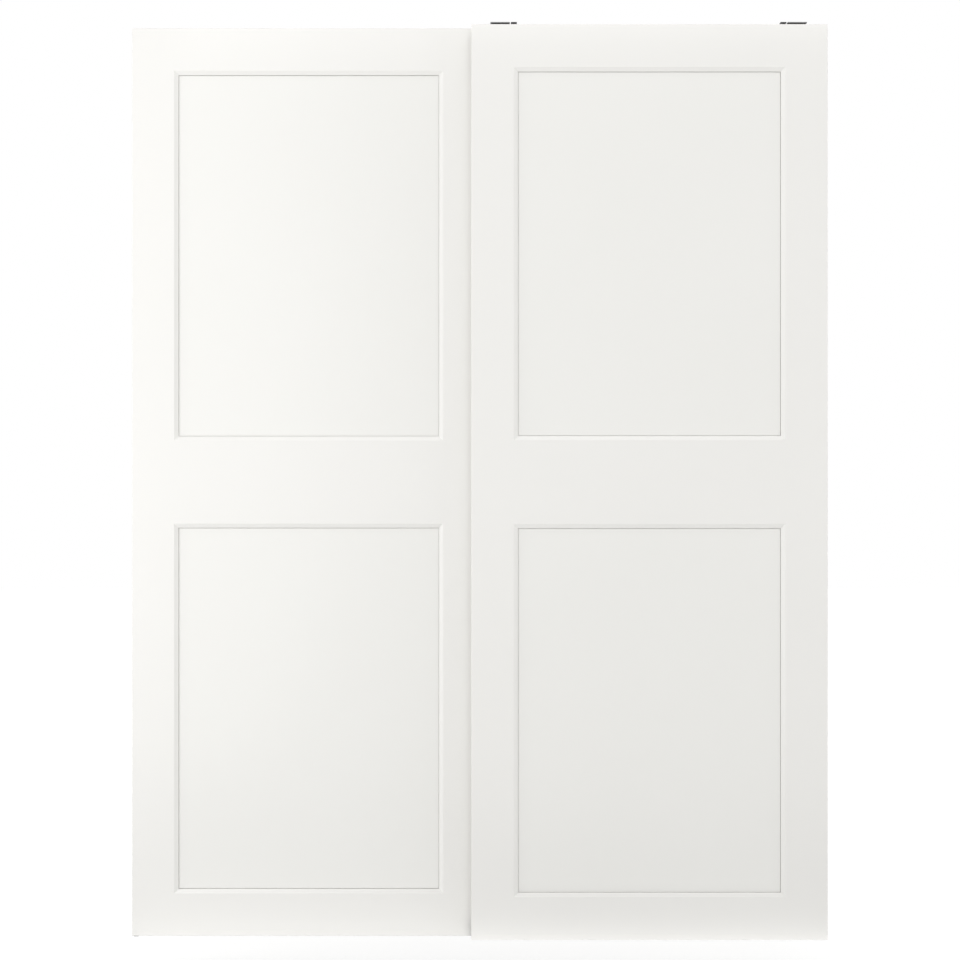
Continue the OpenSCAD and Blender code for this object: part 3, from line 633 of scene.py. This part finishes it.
def wood_screw(length):
    """A pan-head screw with a cross recess, tip at 0."""
    under = length - SCREW_HEAD_H
    crest, core, neck = WOOD_SCREW_R - CREST_IN, WOOD_SCREW_R - CORE_IN, WOOD_SCREW_R - NECK_IN
    rings = [(0.0, circle(TIP_R)), (POINT_H, circle(POINT_R))]
    rings += thread(THREAD_FOOT, under - THREAD_TOP, crest, WOOD_THREAD_D, WOOD_PITCH, WOOD_RIDGE_HALF)
    rings += [(under - CORE_TOP, circle(core)), (under - NECK_FOOT, circle(neck)), (under, circle(neck))]
    rings += [(under, circle(SCREW_HEAD_R - HEAD_CHAMFER)), (under + HEAD_CHAMFER, circle(SCREW_HEAD_R)),
              (under + HEAD_RIM_H, circle(SCREW_HEAD_R))]
    dome = SCREW_HEAD_H - HEAD_RIM_H
    rings += [(under + HEAD_RIM_H + dome * math.sin(a), circle(SCREW_HEAD_R * math.cos(a) ** DOME_POWER))
              for a in (math.pi / 2 * i / DOME_STEPS for i in range(1, DOME_STEPS))]
    rings.append((length, circle(DOME_TOP_R)))
    return taken_out(turned(rings, WOOD_SCREW_SEGMENTS), cross(length))


def socket_screw(z0, z1, radius, pitch, socket, deep, collar=None):
    """A threaded screw with a hexagonal socket on top and, when given, a collar (z0, z1, radius)."""
    depth = pitch * THREAD_SHARE
    core = radius - depth
    rings = [(z0, circle(core - FOOT_IN))]
    if collar:
        low, high, wide = collar
        edge = wide - COLLAR_CHAMFER
        rings += thread(z0 + PLAIN_END, low - COLLAR_GAP, radius, depth, pitch)
        rings += [(low, circle(core)), (low, circle(edge)), (low + COLLAR_CHAMFER, circle(wide)),
                  (high - COLLAR_CHAMFER, circle(wide)), (high, circle(edge)), (high, circle(core))]
        rings += thread(high + COLLAR_GAP, z1 - PLAIN_END, radius, depth, pitch)
    else:
        rings += thread(z0 + PLAIN_END, z1 - PLAIN_END, radius, depth, pitch)
    rings += [(z1, circle(core - TOP_IN)), (z1, circle(socket + SOCKET_MOUTH)),
              (z1 - SOCKET_MOUTH_D, hexagon(socket)), (z1 - deep, hexagon(socket))]
    return turned(rings, SOCKET_SCREW_SEGMENTS)


def lock_nut(z0, z1):
    """A thin hexagon nut with both ends chamfered and a countersunk bore."""
    low, high = z0 + NUT_CHAMFER, z1 - NUT_CHAMFER
    face = circle(NUT_CORNER_R * math.cos(HEX_SIDE / 2) - NUT_FACE_IN)
    flats = hexagon(NUT_CORNER_R)
    bore = circle(NUT_BORE_R)
    mouth = circle(NUT_BORE_R + NUT_CHAMFER)
    rings = [(z0, face), (low, flats), (high, flats), (z1, face),
             (z1, mouth), (high, bore), (low, bore), (z0, mouth)]
    return turned(rings, NUT_SEGMENTS, bored=True)


def dowel(length, radius):
    """A fluted dowel with chamfered ends, its middle at 0."""
    half = length / 2
    end = circle(radius - DOWEL_CHAMFER * DOWEL_TAPER)
    side = fluted(radius, FLUTES, FLUTE_D)
    rings = [(-half, end), (-half + DOWEL_CHAMFER, side), (half - DOWEL_CHAMFER, side), (half, end)]
    return turned(rings, DOWEL_SEGMENTS)


def upright(low, high):
    """Where the upright axis of a box's middle stands."""
    return Vector(((low.x + high.x) / 2, (low.y + high.y) / 2, 0))


def turn_wood_screws(node):
    shapes, placed = {}, []
    for low, high in solids(node):
        length = round(high.y - low.y, LENGTH_DIGITS)
        if length not in shapes:
            shapes[length] = wood_screw(length)
        tip = Vector(((low.x + high.x) / 2, low.y, (low.z + high.z) / 2))
        placed.append((*shapes[length], "y", tip))
    several(node, placed)


def turn_height_screws(node):
    boxes = solids(node)
    nuts = [(low, high) for low, high in boxes if high.z - low.z < SHORT]
    screws = [(low, high) for low, high in boxes if high.z - low.z >= SHORT]
    seat = nuts[0][0].z - STEEL_T
    placed = [(*lock_nut(low.z, high.z), "z", upright(low, high)) for low, high in nuts]
    for low, high in screws:
        collar = (seat - COLLAR_H, seat, (high.x - low.x) / 2)
        shape = socket_screw(low.z, high.z, HEIGHT_SCREW_R, HEIGHT_PITCH, HEIGHT_SOCKET_R,
                             high.z - seat - STEEL_T, collar)
        placed.append((*shape, "z", upright(low, high)))
    several(node, placed)


def turn_dowels(node):
    several(node, [(*dowel(high.x - low.x, (high.z - low.z) / 2), "x", (low + high) / 2)
                   for low, high in solids(node)])


def turn_grub_screws(node):
    several(node, [(*socket_screw(low.z, high.z, GRUB_R, GRUB_PITCH, GRUB_SOCKET_R, GRUB_SOCKET_D), "z",
                    upright(low, high)) for low, high in solids(node)])


for door in DOORS:
    turn_wood_screws(f"{door}_screws")
    turn_height_screws(f"{door}_height_screws")
    turn_dowels(f"{door}_dowels")
turn_grub_screws("stop_screws")

TURNED = {"stop_screws"} | {f"{d}_{part}" for d in DOORS for part in ("screws", "height_screws", "dowels")}
for node, finish in SLOTS.items():
    if finish in CORNER_R and node not in TURNED:
        rounded(node, SMALL_CORNER_R if node.endswith("lane_stops") else CORNER_R[finish])


# Floor, camera and light, in metres

WHITE = (1, 1, 1, 1)
FLOOR_DROP = 0.075                    # from the object's foot to the floor
FLOOR_Z = cad_box[0][2] - FLOOR_DROP
FLOOR_R = 14.0
FLOOR_TONE = (0.48, 0.48, 0.477, 1)
FLOOR_ROUGH = 0.9
FLOOR_SHINE = 0.1
NEAR_GLOW, FAR_GLOW = 0.59, 0.73      # of the floor, for the camera
NEAR_R, FAR_R = 1.0, 4.5              # where the glow starts to rise, and where it is full
ALONG_FLOOR = (1, 1, 0)
WORLD_LEVEL = 0.54
SENSOR_MM = 36.0
LENS_MM = 69.2
CAMERA_PLACE = (0.0036, -4.048, -0.9485)


def combined(tree, operation, *values):
    """The result of a Math node for sockets and numbers."""
    node = tree.nodes.new("ShaderNodeMath")
    node.operation = operation
    for socket, value in zip(node.inputs, values):
        if isinstance(value, bpy.types.NodeSocket):
            tree.links.new(value, socket)
        else:
            socket.default_value = value
    return node.outputs[0]


def camera_only(tree, amount):
    """amount for what the camera, a mirror or a glass sees, and 0 for light that falls on the object."""
    path = tree.nodes.new("ShaderNodeLightPath")
    seen = combined(tree, "MAXIMUM", path.outputs["Is Camera Ray"], path.outputs["Is Glossy Ray"])
    seen = combined(tree, "MAXIMUM", seen, path.outputs["Is Transmission Ray"])
    return combined(tree, "MULTIPLY", seen, amount)


def rising(tree, near, far):
    """A value that rises with the distance from the object's middle."""
    coords = tree.nodes.new("ShaderNodeTexCoord")
    level = tree.nodes.new("ShaderNodeVectorMath")
    level.operation = "MULTIPLY"
    level.inputs[1].default_value = ALONG_FLOOR
    length = tree.nodes.new("ShaderNodeVectorMath")
    length.operation = "LENGTH"
    span = tree.nodes.new("ShaderNodeMapRange")
    span.inputs["From Min"].default_value = NEAR_R
    span.inputs["From Max"].default_value = FAR_R
    span.inputs["To Min"].default_value = near
    span.inputs["To Max"].default_value = far
    tree.links.new(coords.outputs["Object"], level.inputs[0])
    tree.links.new(level.outputs["Vector"], length.inputs[0])
    tree.links.new(length.outputs["Value"], span.inputs["Value"])
    return span.outputs["Result"]


floor_mat, floor_tree, floor_shader = new_material("pale_floor")
floor_shader.inputs["Base Color"].default_value = FLOOR_TONE
floor_shader.inputs["Roughness"].default_value = FLOOR_ROUGH
floor_shader.inputs["Specular IOR Level"].default_value = FLOOR_SHINE
floor_shader.inputs["Emission Color"].default_value = WHITE
floor_tree.links.new(camera_only(floor_tree, rising(floor_tree, NEAR_GLOW, FAR_GLOW)),
                     floor_shader.inputs["Emission Strength"])
floor_corners = [(x * FLOOR_R, y * FLOOR_R, FLOOR_Z) for x, y in ((-1, -1), (1, -1), (1, 1), (-1, 1))]
floor = add_mesh("floor", floor_corners, [(0, 1, 2, 3)], floor_mat)

scene = bpy.context.scene
scene.view_settings.view_transform = "Standard"

cam_data = bpy.data.cameras.new("camera")
cam_data.sensor_width = SENSOR_MM
cam_data.lens = LENS_MM
camera = bpy.data.objects.new("camera", cam_data)
camera.location = CAMERA_PLACE
camera.rotation_euler = (math.pi / 2, 0, 0)
scene.collection.objects.link(camera)
scene.camera = camera

world = bpy.data.worlds.new("studio")
scene.world = world
world.use_nodes = True
sky = world.node_tree
background = next(n for n in sky.nodes if n.type == "BACKGROUND")
background.inputs["Color"].default_value = WHITE
sky.links.new(combined(sky, "ADD", camera_only(sky, 1.0 - WORLD_LEVEL), WORLD_LEVEL),
              background.inputs["Strength"])

# name: (shape, place, target, (width, height), radiance)
LIGHTS = {
    "low": ("RECTANGLE", (0.0, -2.6, -1.99), (0.0, -2.6, 0.0), (6.0, 4.0), 0.44),
    "key": ("ELLIPSE", (-1.50, -3.07, -0.46), (-1.50, 0.0, -0.46), (2.1, 4.0), 1.07),
    "left": ("RECTANGLE", (-2.6, -0.9, -0.8), (0.0, -0.05, -0.8), (1.2, 2.0), 2.9),
    "right": ("RECTANGLE", (2.6, -0.9, -0.9), (0.0, -0.05, -0.9), (1.2, 2.0), 1.42),
    "right_high": ("RECTANGLE", (2.6, -0.9, 0.7), (0.0, -0.05, -0.9), (1.2, 1.2), 0.6),
    "top": ("RECTANGLE", (0.0, -0.9, 1.5), (0.1, -0.3, -0.9), (2.8, 0.8), 1.12),
    "top_far": ("RECTANGLE", (0.3, -3.0, 3.0), (0.0, -0.05, -0.6), (3.6, 1.6), 1.32),
    "front": ("RECTANGLE", (1.3, -6.0, 0.6), (1.3, 0.0, 0.6), (2.8, 3.8), 0.42),
    "strip_top": ("RECTANGLE", (0.1, -0.13, 0.06), (0.1, -0.08, -0.03), (1.5, 0.03), 0.40),
    "strip_bottom": ("RECTANGLE", (0.03, -0.13, -1.98), (0.03, -0.08, -1.9), (1.62, 0.03), 1.8),
    "back_left": ("RECTANGLE", (-2.4, 3.2, 1.0), (0.0, 0.0, -0.9), (2.4, 2.4), 1.9),
    "back_right": ("RECTANGLE", (2.6, 3.0, 0.6), (0.0, 0.0, -0.9), (2.4, 2.4), 1.9),
}


def softbox(name, shape, place, target, size, radiance):
    """An area light whose surface has that radiance, turned to target."""
    data = bpy.data.lights.new(name, "AREA")
    data.shape = shape
    data.size, data.size_y = size
    fill = math.pi / 4 if shape == "ELLIPSE" else 1
    data.energy = radiance * size[0] * size[1] * fill * math.pi
    obj = bpy.data.objects.new(name, data)
    obj.location = place
    obj.rotation_euler = (Vector(target) - Vector(place)).to_track_quat("-Z", "Y").to_euler()
    obj.visible_camera = False
    scene.collection.objects.link(obj)


for light, setting in LIGHTS.items():
    softbox(light, *setting)
